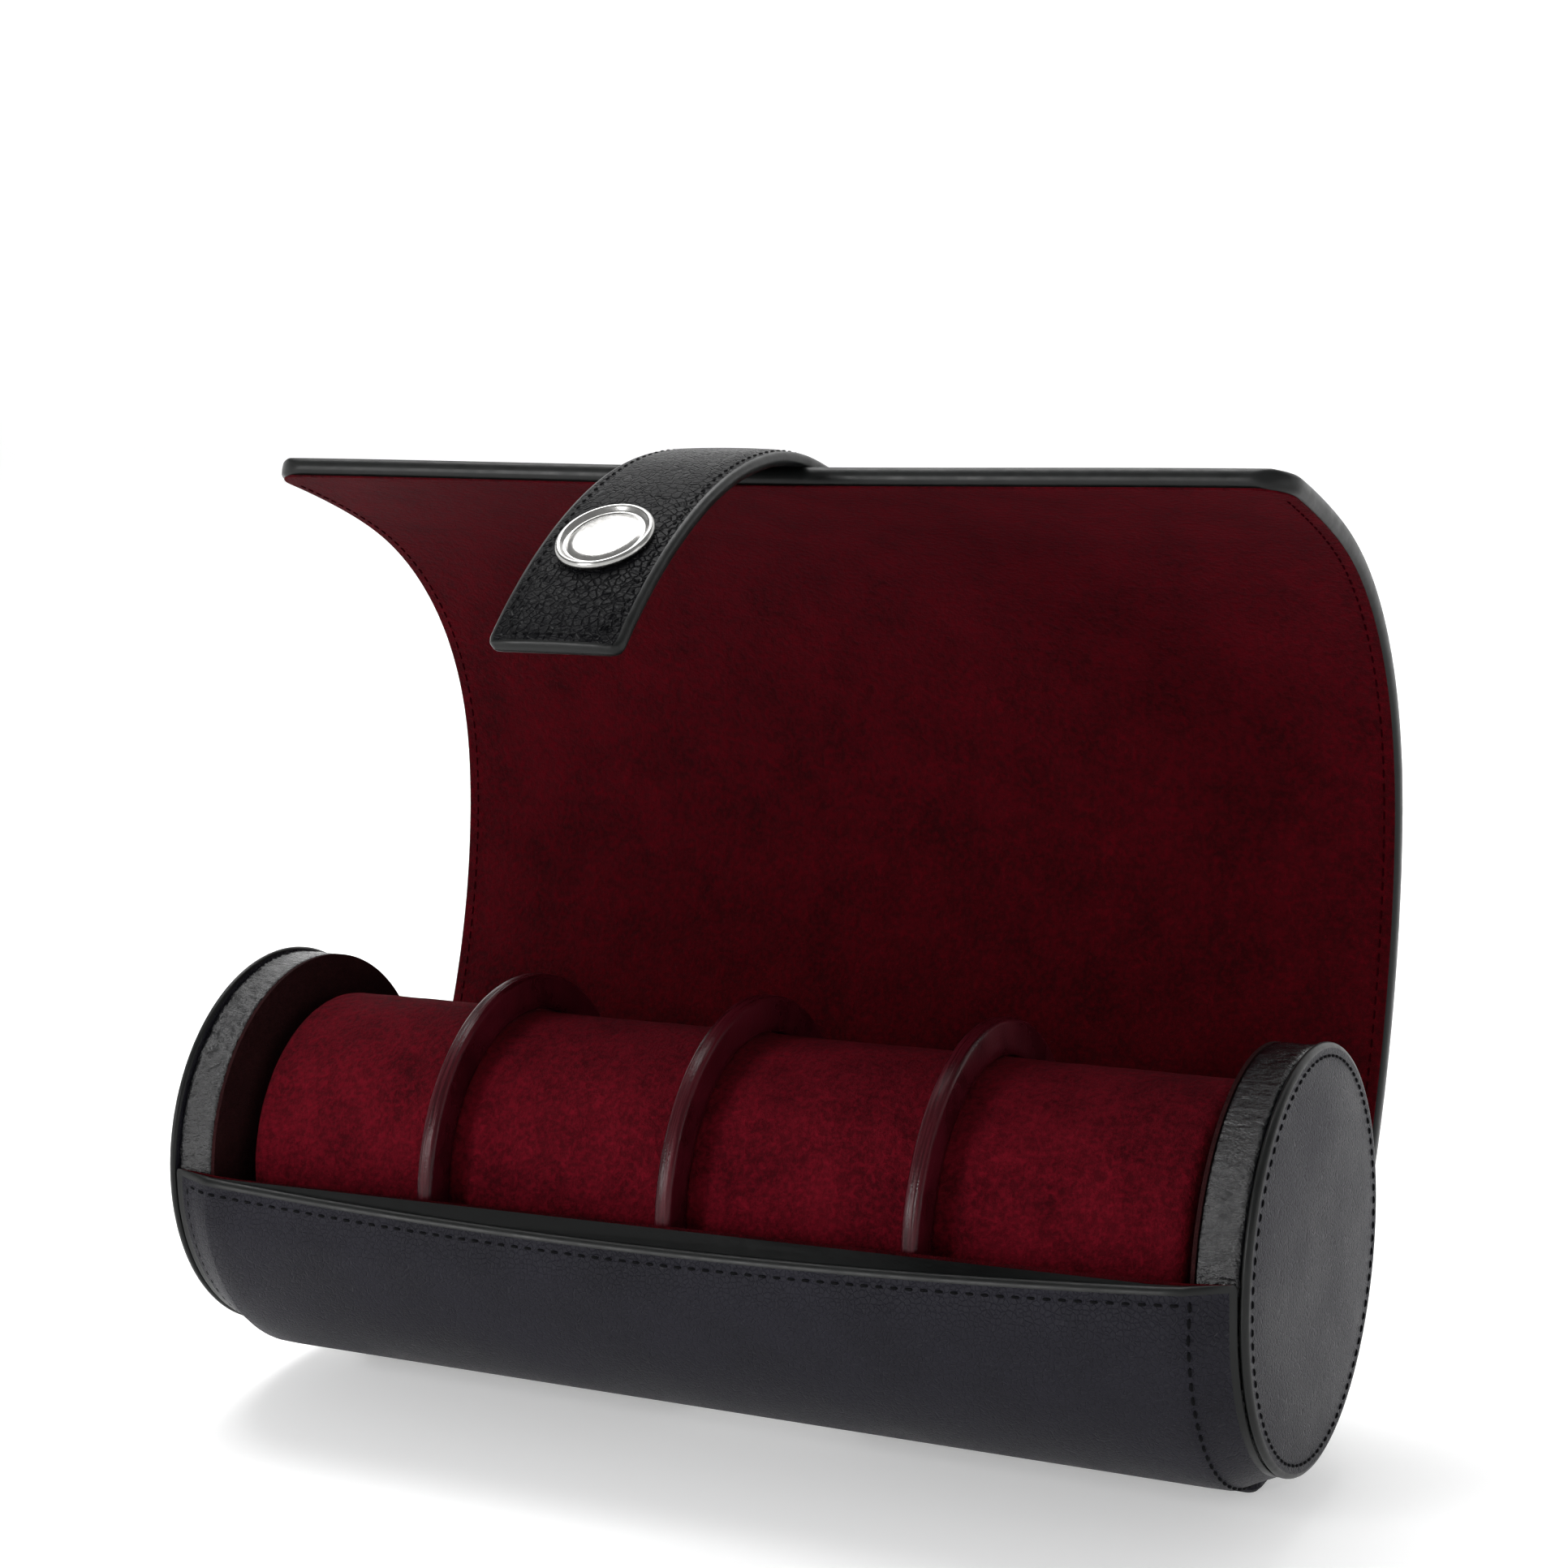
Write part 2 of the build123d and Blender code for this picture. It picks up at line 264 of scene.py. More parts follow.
def metal(name, color):
    material, tree, shader, place = new_material(name)
    scuffs = noise_node(tree, place, 700, 4)
    shader.inputs["Metallic"].default_value = 1.0
    darker = tuple(c * 0.9 for c in color)
    tree.links.new(ramp(tree, scuffs, 0.3, 0.7, darker, color), shader.inputs["Base Color"])
    tree.links.new(value_range(tree, scuffs, 0.3, 0.7, 0.2, 0.28), shader.inputs["Roughness"])
    return material


def board(name, dark, light):
    material, tree, shader, place = new_material(name)
    fibres = noise_node(tree, place, 600, 5)
    tree.links.new(ramp(tree, fibres, 0.3, 0.7, dark, light), shader.inputs["Base Color"])
    tree.links.new(bump(tree, fibres, 0.0003, 0.5), shader.inputs["Normal"])
    shader.inputs["Roughness"].default_value = 0.9
    return material


MATERIALS = {
    "black_leather": leather("black_leather", (0.0072, 0.0068, 0.0102), (0.0116, 0.0110, 0.0160),
                             900, 0.00026, 0.46, 0.10),
    "strap_leather": leather("strap_leather", (0.0012, 0.0012, 0.0016), (0.0030, 0.0030, 0.0038),
                             620, 0.00060, 0.33, 0.04),
    "crinkle_leather": crinkled("crinkle_leather", (0.0012, 0.0012, 0.0016), (0.0034, 0.0034, 0.0042)),
    "burgundy_suede": suede("burgundy_suede", (0.029, 0.0004, 0.0020), (0.112, 0.0030, 0.0084), 0.08),
    # The flap's lining is the roll's suede painted darker: a shaded copy of one material, standing in for the
    # shade the lining sits in.
    "shaded_lining_suede": suede("shaded_lining_suede", (0.018, 0.0001, 0.0009), (0.056, 0.0006, 0.0028), 0.08),
    "facing_suede": suede("facing_suede", (0.0130, 0.0034, 0.0038), (0.0240, 0.0066, 0.0070), 0.0),
    "divider_leather": polished_rim("divider_leather", (0.018, 0.0011, 0.0026), (0.052, 0.0036, 0.0075)),
    "nickel": metal("nickel", (0.38, 0.376, 0.365)),
    "foam": board("foam", (0.45, 0.42, 0.36), (0.6, 0.56, 0.5)),
    "board": board("board", (0.26, 0.19, 0.12), (0.38, 0.28, 0.19)),
    "edge_paint": edge_paint("edge_paint", (0.0026, 0.0030, 0.0029), 0.34, 0.22),
    "thread": edge_paint("thread", (0.0016, 0.0016, 0.0020), 0.7, 0.06),
    "thread_red": edge_paint("thread_red", (0.010, 0.0003, 0.0011), 0.95, 0.0),
}


def paint_cad_nodes():
    slots = {s["node"]: s["material_slot"] for s in frame["record"]["subparts"]}
    for name, node in frame["nodes"].items():
        node.data.materials.clear()
        node.data.materials.append(MATERIALS[slots[name]])


# --- mesh helpers --------------------------------------------------------------------

def mesh_object(name, verts, faces, materials, face_materials=None, smooth=True):
    mesh = bpy.data.meshes.new(name)
    mesh.from_pydata([tuple(c * MM for c in v) for v in verts], [], faces)
    for m in materials:
        mesh.materials.append(MATERIALS[m])
    if face_materials:
        mesh.polygons.foreach_set("material_index", face_materials)
    mesh.polygons.foreach_set("use_smooth", [smooth] * len(mesh.polygons))
    mesh.update()
    obj = bpy.data.objects.new(name, mesh)
    bpy.context.scene.collection.objects.link(obj)
    return obj


def grid_faces(rows, columns, closed_columns, closed_rows=False):
    faces = []
    for i in range(rows if closed_rows else rows - 1):
        for j in range(columns if closed_columns else columns - 1):
            a = i * columns + j
            b = i * columns + (j + 1) % columns
            c = ((i + 1) % rows) * columns + (j + 1) % columns
            d = ((i + 1) % rows) * columns + j
            faces.append((a, d, c, b))
    return faces


def lathe(name, profile, materials, steps, side, warp):
    """A closed (x, r) profile turned about the drum's axis; side -1 mirrors it to the left."""
    verts = []
    for i in range(steps):
        a = 2 * math.pi * i / steps
        for x, r in profile:
            x, r = warp(x, r, a)
            verts.append((side * x, AXIS[0] + r * math.cos(a), AXIS[1] + r * math.sin(a)))
    faces = grid_faces(steps, len(profile), True, True)
    if side < 0:
        faces = [f[::-1] for f in faces]
    return mesh_object(name, verts, faces, materials)


def solid_lathe(name, profile, materials, steps, side, warp=None):
    """An open profile that starts and ends on the axis (r = 0), turned into a closed solid."""
    inner = profile[1:-1]
    verts = []
    for i in range(steps):
        a = 2 * math.pi * i / steps
        for x, r in inner:
            if warp:
                x, r = warp(x, r, a)
            verts.append((side * x, AXIS[0] + r * math.cos(a), AXIS[1] + r * math.sin(a)))
    n = len(inner)
    faces = grid_faces(steps, n, False, True)
    first = len(verts)
    verts.append((side * profile[0][0], *AXIS))
    verts.append((side * profile[-1][0], *AXIS))
    for i in range(steps):
        k = (i + 1) % steps
        faces.append((first, k * n, i * n))
        faces.append((first + 1, i * n + n - 1, k * n + n - 1))
    if side < 0:
        faces = [f[::-1] for f in faces]
    return mesh_object(name, verts, faces, materials)


def arc_points(cx, cr, radius, start, end, count=5):
    out = []
    for i in range(count + 1):
        a = math.radians(start + (end - start) * i / count)
        out.append((cx + radius * math.cos(a), cr + radius * math.sin(a)))
    return out


def smoothstep(value, low, high):
    t = min(max((value - low) / (high - low), 0.0), 1.0)
    return t * t * (3 - 2 * t)


# --- the wrap's and flap's line --------------------------------------------------------

class Line:
    """A curve in the YZ plane, kept as evenly spaced points with headings."""

    def __init__(self, start, headings, s_low, step):
        self.s_low = s_low
        self.step = step
        self.headings = headings
        points = [start]
        for h0, h1 in zip(headings[:-1], headings[1:]):
            h = (h0 + h1) / 2
            y, z = points[-1]
            points.append((y + step * math.cos(h), z + step * math.sin(h)))
        self.points = points

    def at(self, s):
        u = (s - self.s_low) / self.step
        i = min(max(int(math.floor(u)), 0), len(self.points) - 2)
        f = u - i
        a, b = self.points[i], self.points[i + 1]
        h = self.headings[i] * (1 - f) + self.headings[i + 1] * f
        return a[0] + (b[0] - a[0]) * f, a[1] + (b[1] - a[1]) * f, h

    def place(self, s, offset):
        y, z, h = self.at(s)
        return y + offset * math.sin(h), z - offset * math.cos(h)


def smoothed(values, width):
    """The values averaged with a bell-shaped window of that many samples."""
    reach = int(width * 3)
    weights = np.exp(-0.5 * (np.arange(-reach, reach + 1) / width) ** 2)
    padded = np.concatenate([np.full(reach, values[0]), values, np.full(reach, values[-1])])
    slopes = values[-1] - values[-2], values[1] - values[0]
    padded[:reach] = values[0] - slopes[1] * np.arange(reach, 0, -1)
    padded[-reach:] = values[-1] + slopes[0] * np.arange(1, reach + 1)
    return np.convolve(padded, weights / weights.sum(), "valid")


def wrap_heading(s):
    """The direction of the inner face at s: straight wall top, round drum, then the flap's arcs."""
    if s >= 0:
        k = min(int(s / SEGMENT), len(FLAP_TURNS) - 1)
        turned = sum(FLAP_TURNS[:k]) + FLAP_TURNS[k] * (s - k * SEGMENT) / SEGMENT
        return math.radians(FLAP_HEADING + turned)
    angle = HINGE_ANGLE + max(s, WALL_TOP - WRAP_LENGTH) / BORE_R
    return angle + math.pi / 2


def make_wrap_line():
    step = 0.5
    count = int(round((FLAP_LENGTH + WRAP_LENGTH) / step)) + 1
    step = (FLAP_LENGTH + WRAP_LENGTH) / (count - 1)
    s_values = [-WRAP_LENGTH + step * i for i in range(count)]
    headings = np.array([wrap_heading(s) for s in s_values])
    soft = smoothed(headings, 8.0 / step)
    near_top = np.array([smoothstep(s, -WRAP_LENGTH + 30, -60) for s in s_values])
    soft = headings * (1 - near_top) + soft * near_top
    start = (AXIS[0] - BORE_R, AXIS[1] + WALL_TOP)
    return Line(start, list(soft), -WRAP_LENGTH, step)


WRAP = make_wrap_line()


def flap_dip(x, s):
    """The free edge sags a little in the middle."""
    middle = math.cos(min(abs(x) / FLAP_HALF, 1.0) * math.pi / 2) ** 2
    return -EDGE_SAG * middle * smoothstep(s, SAG_START, FLAP_LENGTH)


def wall_bow(x, s):
    """The front wall's top edge is lowest in the middle, and lower on the left than on the right."""
    u = x / DISC_INNER_X
    drop = BOW_MIDDLE * (1 - u * u) + BOW_SLOPE * (1 - u)
    return drop * (1 - smoothstep(s, -WRAP_LENGTH, -WRAP_LENGTH + BOW_REACH))


def surface(x, s, offset):
    """The point of the wrap or flap at width x, length s, and distance from the lining's face."""
    y, z = WRAP.place(s + wall_bow(x, s), offset + flap_dip(x, s))
    return (x, y, z)


def stations(low, high, step):
    count = max(int(round((high - low) / step)), 1)
    inner = [low + (high - low) * i / count for i in range(1, count)]
    tight = 0.05
    return [low, low + tight] + inner + [high - tight, high]


def section(half, low, high, round_to, columns):
    """A rounded flat section: (x, offset, is_edge) all the way round."""
    mid = (low + high) / 2
    xs = [-half + round_to + 2 * (half - round_to) * i / columns for i in range(columns + 1)]
    points = [(x, high, 0) for x in xs]
    turn = [math.radians(a) for a in (67, 45, 22, 0, -22, -45, -67)]
    r = min(round_to, (high - low) / 2)
    flat = (high - low) / 2 - r
    for a in turn:
        lift = flat * (1 if a > 0 else -1 if a < 0 else 0)
        points.append((half - round_to + round_to * math.cos(a), mid + lift + r * math.sin(a), 1))
    points += [(x, low, 2) for x in reversed(xs)]
    for a in reversed(turn):
        lift = flat * (1 if a > 0 else -1 if a < 0 else 0)
        points.append((-half + round_to - round_to * math.cos(a), mid + lift + r * math.sin(a), 1))
    return points


def end_scale(s, low_end, high_end, low, high, radius):
    """How much of its thickness the piece keeps near a finished end."""
    d = min(s - low if low_end else radius, high - s if high_end else radius)
    d = min(max(d / radius, 0.0), 1.0)
    return math.sqrt(max(1 - (1 - d) ** 2, 0.0004))


def corner_inset(s, high, radius):
    """How far a rounded corner narrows the piece at s."""
    d = s - (high - radius)
    if d <= 0:
        return 0.0
    return radius - math.sqrt(max(radius * radius - d * d, 0.0))


def strip(name, place, outline, s_values, finished, limits, corner, materials, edge_r=1.5, picks=(0, 1, 0)):
    """A strip that follows a section along s. finished says which ends are closed and rounded."""
    verts = []
    mid = sum(p[1] for p in outline) / len(outline)
    half = max(p[0] for p in outline)
    low, high = limits
    for s in s_values:
        keep = end_scale(s, finished[0], finished[1], low, high, edge_r)
        inset = corner_inset(s, high, corner) if finished[1] and corner else 0.0
        inset += (1 - keep) * edge_r * 0.4
        for x, offset, _ in outline:
            x = x * (half - inset) / half
            verts.append(place(x, s, mid + (offset - mid) * keep))
    n = len(outline)
    faces = grid_faces(len(s_values), n, True)
    chosen = []
    for k in range(len(faces)):
        j = k % n
        row = k // n
        kinds = (outline[j][2], outline[(j + 1) % n][2])
        edge = 1 in kinds
        s = s_values[row]
        near = (finished[0] and s < low + edge_r) or (finished[1] and s > high - edge_r)
        chosen.append(picks[1] if edge or near else picks[kinds[0]])
    if finished[0]:
        faces.append(tuple(range(n)))
        chosen.append(picks[1])
    if finished[1]:
        faces.append(tuple(reversed(range((len(s_values) - 1) * n, len(s_values) * n))))
        chosen.append(picks[1])
    return mesh_object(name, verts, faces, materials, chosen)


STITCH_RINGS = ((-0.5, 0.35, -0.5), (-0.3, 0.95, 0.1), (0, 1.0, 0.3), (0.3, 0.95, 0.1), (0.5, 0.35, -0.5))


def stitch_mesh(name, spots, material, length=2.1, radius=0.34):
    """Stitches: each spot is (centre, along, up), and each stitch a small spindle sunk by its ends."""
    verts, faces = [], []
    for centre, along, up in spots:
        along = Vector(along).normalized()
        up = Vector(up).normalized()
        side = along.cross(up).normalized()
        base = len(verts)
        for t, r, lift in STITCH_RINGS:
            for k in range(6):
                a = math.pi * k / 3
                p = Vector(centre) + along * (t * length) + up * (radius * (lift + r * math.sin(a)))
                verts.append(tuple(p + side * (radius * r * math.cos(a))))
        for i in range(4):
            for k in range(6):
                a = base + i * 6 + k
                b = base + i * 6 + (k + 1) % 6
                faces.append((a, b, b + 6, a + 6))
        faces.append(tuple(base + k for k in reversed(range(6))))
        faces.append(tuple(base + 24 + k for k in range(6)))
    return mesh_object(name, verts, faces, [material])


def line_spots(place, path, offset, pitch=3.1):
    """Evenly spaced stitches along a list of (x, s) points on a surface."""
    spots = []
    carry = pitch / 2
    for (x0, s0), (x1, s1) in zip(path[:-1], path[1:]):
        length = math.hypot(x1 - x0, s1 - s0)
        while carry < length:
            t = carry / length
            x, s = x0 + (x1 - x0) * t, s0 + (s1 - s0) * t
            dx, ds = (x1 - x0) / length, (s1 - s0) / length
            a = Vector(place(x - dx * 0.5, s - ds * 0.5, offset))
            b = Vector(place(x + dx * 0.5, s + ds * 0.5, offset))
            inside = Vector(place(x, s, offset - 1.0))
            middle = Vector(place(x, s, offset))
            spots.append((s, (tuple(middle), tuple(b - a), tuple(middle - inside))))
            carry += pitch
        carry -= length
    return spots


def ride_or_blend(obj, bodies, points):
    if len(bodies) == 1:
        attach(obj, bodies[0])
    else:
        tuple(points[0])
        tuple(points[1])
        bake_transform(obj)


def metres(point):
    return tuple(c * MM for c in point)


# --- wrap and flap -------------------------------------------------------------------

def wrap_spans():
    """(name, start, end, bodies) of each stretch of the wrap and flap."""
    middles = [-BASE_BLEND] + [SEGMENT * (k + 0.5) for k in range(len(FLAP_TURNS))]
    spans = [("wrap_fixed", -WRAP_LENGTH, middles[0], ("case",))]
    for k in range(1, len(middles)):
        first = "case" if k == 1 else "flap_" + str(k - 1)
        spans.append(("flap_bend_" + str(k), middles[k - 1], middles[k], (first, "flap_" + str(k))))
    spans.append(("flap_end", middles[-1], FLAP_LENGTH, ("flap_6",)))
    return spans


def flap_width(x, s):
    """Before the hinge the wrap is as wide as the drum; past it the flap is a little narrower."""
    t = smoothstep(s, -9.0, -2.0)
    full = DISC_INNER_X - 0.3
    return x * ((full + (FLAP_HALF - full) * t) / FLAP_HALF)


def wrap_place(x, s, offset):
    """The drum's wrap: pared thin at its ends, to tuck in behind the discs, and at the wall's top."""
    wide = flap_width(x, s)
    beside = smoothstep(abs(wide), DISC_INNER_X - TUCK_WIDE, DISC_INNER_X - TUCK_NARROW)
    tuck = TUCK_SHARE * beside * (1 - smoothstep(s, -BASE_BLEND, 0.0))
    pared = TOP_PARED * (1 - smoothstep(s, -WRAP_LENGTH, -WRAP_LENGTH + TOP_REACH))
    return surface(wide, s, offset * (1 - tuck) * (1 - pared))


def make_wrap():
    outer = section(FLAP_HALF, 0.3, WALL, 1.5, 58)
    inner = section(FLAP_HALF - 0.9, 0.0, 0.5, 0.25, 58)
    limits = (-WRAP_LENGTH, FLAP_LENGTH)
    stitches = wrap_stitches()
    for index, (name, low, high, bodies) in enumerate(wrap_spans()):
        finished = (index == 0, index == len(FLAP_TURNS) + 1)
        s_values = stations(low, high, 2.0)
        if finished[0]:
            s_values = sorted(set(s_values + [low + d for d in (0.1, 0.3, 0.6, 1.0, 1.5)]))
        if finished[1]:
            inward = (0.1, 0.3, 0.6, 1.0, 1.5, 2.5, 3.5, 5.0, 6.5)
            s_values = sorted(set(s_values + [high - d for d in inward]))
        place = wrap_place if bodies[0] == "case" else surface
        body = strip(name + "_leather", place, outer, s_values, finished, limits, FLAP_CORNER,
                     ["black_leather", "edge_paint"])
        # The lining takes the darker, painted-shade copy of the suede.
        cloth = strip(name + "_lining", place, inner, s_values, finished, limits, FLAP_CORNER,
                      ["shaded_lining_suede"], 0.6, (0, 0, 0))
        spots = [spot for s, spot in stitches if low <= s < high]
        thread = stitch_mesh(name + "_stitches", spots, "thread")
        pieces = [(body, "black_leather"), (cloth, "burgundy_suede"), (thread, "black_leather")]
        lining_spots = [spot for s, spot in lining_stitches() if low <= s < high]
        if lining_spots:
            red = stitch_mesh(name + "_lining_stitches", lining_spots, "thread_red", 1.9, 0.25)
            pieces.append((red, "burgundy_suede"))
        ends = (metres(surface(0, low, 0)), metres(surface(0, high, 0)))
        for piece, slot in pieces:
            ride_or_blend(piece, bodies, ends)
        if index == 0:
            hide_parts("wrap_leather", "wrap_board")
            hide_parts("wrap_lining")
        elif index <= len(FLAP_TURNS):
            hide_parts("flap_leather_" + str(index))
            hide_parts("flap_lining_" + str(index))


def wrap_stitches():
    side = FLAP_HALF - STITCH_SIDE
    top = -WRAP_LENGTH + STITCH_END
    right = side - STITCH_RIGHT
    around = [(-side, -2.0), (-side, top), (right, top), (right, -2.0)]
    spots = line_spots(wrap_place, around, STITCH_TOP)
    end = FLAP_LENGTH - STITCH_END
    corner = 6.0
    path = [(-side, 0.0), (-side, end - corner)]
    path += [(-side + corner * 0.3, end - corner * 0.3), (-side + corner, end)]
    path += [(-x, s) for x, s in reversed(path)]
    return spots + line_spots(surface, path, STITCH_TOP)


def lining_stitches():
    spots = []
    for side in (-FLAP_HALF + STITCH_SIDE, FLAP_HALF - STITCH_SIDE):
        spots += line_spots(surface, [(side, 0.0), (side, FLAP_LENGTH - 9)], -0.02)
    return spots


# --- strap ---------------------------------------------------------------------------

def make_strap_line():
    step = 0.5
    total = STRAP_ROOT + sum(STRAP_LENGTHS)
    count = int(round(total / step)) + 1
    s_values = [-STRAP_ROOT + step * i for i in range(count)]
    flap_end = FLAP_HEADING + sum(FLAP_TURNS)
    headings = []
    for s in s_values:
        if s < 0:
            degrees = flap_end + FLAP_TURNS[-1] * s / SEGMENT
        elif s < STRAP_LENGTHS[0]:
            degrees = flap_end + STRAP_KINK + STRAP_TURNS[0] * s / STRAP_LENGTHS[0]
        else:
            degrees = flap_end + STRAP_KINK + STRAP_TURNS[0]
            degrees += STRAP_TURNS[1] * (s - STRAP_LENGTHS[0]) / STRAP_LENGTHS[1]
        headings.append(math.radians(degrees))
    _, y, z = surface(0, FLAP_LENGTH - STRAP_ROOT, WALL)
    return Line((y, z), list(smoothed(np.array(headings), 6.0 / step)), -STRAP_ROOT, step)


STRAP = make_strap_line()


def strap_place(x, s, offset):
    """The strap's surface, crowned a little across its width."""
    crown = 0.5 * (1 - (x / STRAP_HALF) ** 2) if offset > 1.5 else 0.0
    near_edge = smoothstep(abs(x), STRAP_HALF - 4.2, STRAP_HALF - 3.0) * (offset > 1.5)
    y, z = STRAP.place(s, offset + crown - 0.25 * near_edge)
    return (x, y, z)


def strap_taper(x, s, offset):
    """The strap's end is cut straight, with its two corners just clipped."""
    end = sum(STRAP_LENGTHS)
    clip = max(s - (end - STRAP_CLIP), 0.0)
    return strap_place(x * (STRAP_HALF - clip) / STRAP_HALF, s, offset)


def make_strap():
    first, second = STRAP_LENGTHS
    middles = [-STRAP_ROOT / 2, first / 2]
    last = first + second / 4
    spans = [
        ("strap_sewn", -STRAP_ROOT, middles[0], ("flap_6",), ["strap_root"]),
        ("strap_bend_a", middles[0], middles[1], ("flap_6", "strap_a"),
         ["strap_leather_a", "strap_lining_a"]),
        ("strap_bend_b", middles[1], last, ("strap_a", "strap_b"), []),
        ("strap_end", last, first + second, ("strap_b",), ["strap_leather_b", "strap_lining_b"]),
    ]
    outline = section(STRAP_HALF, 0.0, STRAP_THICK, 1.2, 24)
    limits = (-STRAP_ROOT, first + second)
    inset = STRAP_HALF - STRAP_STITCH_SIDE
    end = first + second - STRAP_STITCH_END
    path = [(-inset, -STRAP_ROOT + 2.5), (-inset, end - 5), (-inset + 3, end), (inset - 3, end),
            (inset, end - 5), (inset, -STRAP_ROOT + 2.5), (-inset, -STRAP_ROOT + 2.5)]
    spots_all = line_spots(strap_place, path, STRAP_THICK - 0.1, 2.5)
    for index, (name, low, high, bodies, nodes) in enumerate(spans):
        finished = (index == 0, index == 3)
        s_values = stations(low, high, 1.2)
        for edge, sign in ((low, 1), (high, -1)):
            if finished[0 if sign > 0 else 1]:
                s_values = sorted(set(s_values + [edge + sign * d for d in (0.1, 0.3, 0.6, 0.9, 1.2)]))
        piece = strip(name, strap_taper, outline, s_values, finished, limits, 0,
                      ["strap_leather", "edge_paint"], 1.2)
        spots = [spot for s, spot in spots_all if low <= s < high]
        thread = stitch_mesh(name + "_stitches", spots, "thread", 1.7, 0.3)
        ends = (metres(strap_place(0, low, 0)), metres(strap_place(0, high, 0)))
        for obj in (piece, thread):
            ride_or_blend(obj, bodies, ends)
        if nodes:
            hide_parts(*nodes)


def snap_frame(offset):
    """The snap's centre on the strap, its outward direction, and the strap's direction there."""
    s = STRAP_LENGTHS[0] + CAP_PLACE
    h = STRAP.at(s)[2]
    centre = Vector((0, *STRAP.place(s, offset)))
    normal = Vector((0, math.sin(h), -math.cos(h)))
    along = Vector((0, math.cos(h), math.sin(h)))
    return centre, normal, along


def turned_on_strap(name, profile, material, offset, steps=72):
    """A round fitting on the strap: (radius, height) points from the centre outwards."""
    centre, normal, along = snap_frame(offset)
    across = Vector((1, 0, 0))
    verts = [tuple(centre + normal * profile[0][1])]
    for r, h in profile[1:]:
        for k in range(steps):
            a = 2 * math.pi * k / steps
            verts.append(tuple(centre + across * (r * math.cos(a)) + along * (r * math.sin(a)) + normal * h))
    faces = [(0, 1 + (k + 1) % steps, 1 + k) for k in range(steps)]
    for i in range(len(profile) - 2):
        for k in range(steps):
            a = 1 + i * steps + k
            b = 1 + i * steps + (k + 1) % steps
            faces.append((a, b, b + steps, a + steps))
    last = 1 + (len(profile) - 2) * steps
    faces.append(tuple(last + k for k in range(steps)))
    obj = mesh_object(name, verts, faces, [material])
    flip_inside_out(obj)
    return obj


def flip_inside_out(obj):
    """Point every face outwards."""
    mesh = bmesh.new()
    mesh.from_mesh(obj.data)
    bmesh.ops.recalc_face_normals(mesh, faces=mesh.faces)
    mesh.to_mesh(obj.data)
    mesh.free()


def make_snap():
    top = STRAP_THICK + 0.4
    dome = [(0, 1.35)] + [(r, 1.35 - 0.006 * r * r) for r in (1.5, 3.0, 4.5, 6.0, 7.2)]
    rim = [(7.6, 0.7), (8.0, 0.6), (8.4, 0.8), (8.8, 1.35), (9.2, 1.6), (9.6, 1.45)]
    rim += [(CAP_R, 0.9), (CAP_R, 0.3), (9.6, -0.3)]
    cap = turned_on_strap("snap_cap_turned", dome + rim, "nickel", top)
    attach(cap, "strap_b")
    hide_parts("snap_cap")


# --- roll, dividers, ends --------------------------------------------------------------

def uneven(x, a, scale, seed):
    """Soft unevenness between -1 and 1, the same every time."""
    return noise.noise(Vector((x * scale, math.cos(a) * 34 * scale + seed, math.sin(a) * 34 * scale)))


def make_roll():
    edge = 2.5
    x_values = stations(-ROLL_HALF + edge, ROLL_HALF - edge, 1.6)
    left = [(-ROLL_HALF, 0), (-ROLL_HALF, 10), (-ROLL_HALF, 22)]
    left += [(-x, r) for x, r in arc_points(ROLL_HALF - edge, ROLL_R - edge, edge, 0, 90)]
    profile = left + [(x, ROLL_R) for x in x_values[1:-1]]
    profile += [(-x, r) for x, r in reversed(left)]

    def warp(x, r, a):
        if r < ROLL_R - 3:
            return x, r
        return x, r - 0.15 + 0.28 * uneven(x, a, 0.045, 3.1) + 0.12 * uneven(x, a, 0.16, 8.4)

    piece = solid_lathe("roll_suede", profile, ["burgundy_suede"], 140, 1, warp)
    flip_inside_out(piece)
    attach(piece, "insert")
    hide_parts("roll_cover", "roll_end_left", "roll_end_right")


def make_divider(number):
    name = "divider_" + str(number)
    low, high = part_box(name + "_edge_band")
    x0, x1 = low.x / MM, high.x / MM
    outer = (high.y - low.y) / 2 / MM
    bore = DIVIDER_BORE
    r = 1.1
    profile = [(x1, bore + 0.4), (x1 - 0.4, bore), (x0 + 0.4, bore), (x0, bore + 0.4)]
    rim = arc_points(x0 + r, outer - r, r, 180, 90, 4) + arc_points(x1 - r, outer - r, r, 90, 0, 4)
    steps = [(x0, bore + 0.4 + (outer - r - bore - 0.4) * t) for t in (0.25, 0.5, 0.75)]
    back = [(x1, rr) for _, rr in reversed(steps)]

    def warp(x, rr, a):
        return x + 0.12 * noise.noise(Vector((math.cos(a) * 2 + number, math.sin(a) * 2, rr * 0.1))), rr

    piece = lathe(name + "_leather", profile + steps + rim + back, ["divider_leather"], 200, 1, warp)
    flip_inside_out(piece)
    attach(piece, name)
    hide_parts(name + "_facings", name + "_edge_band", name + "_board")


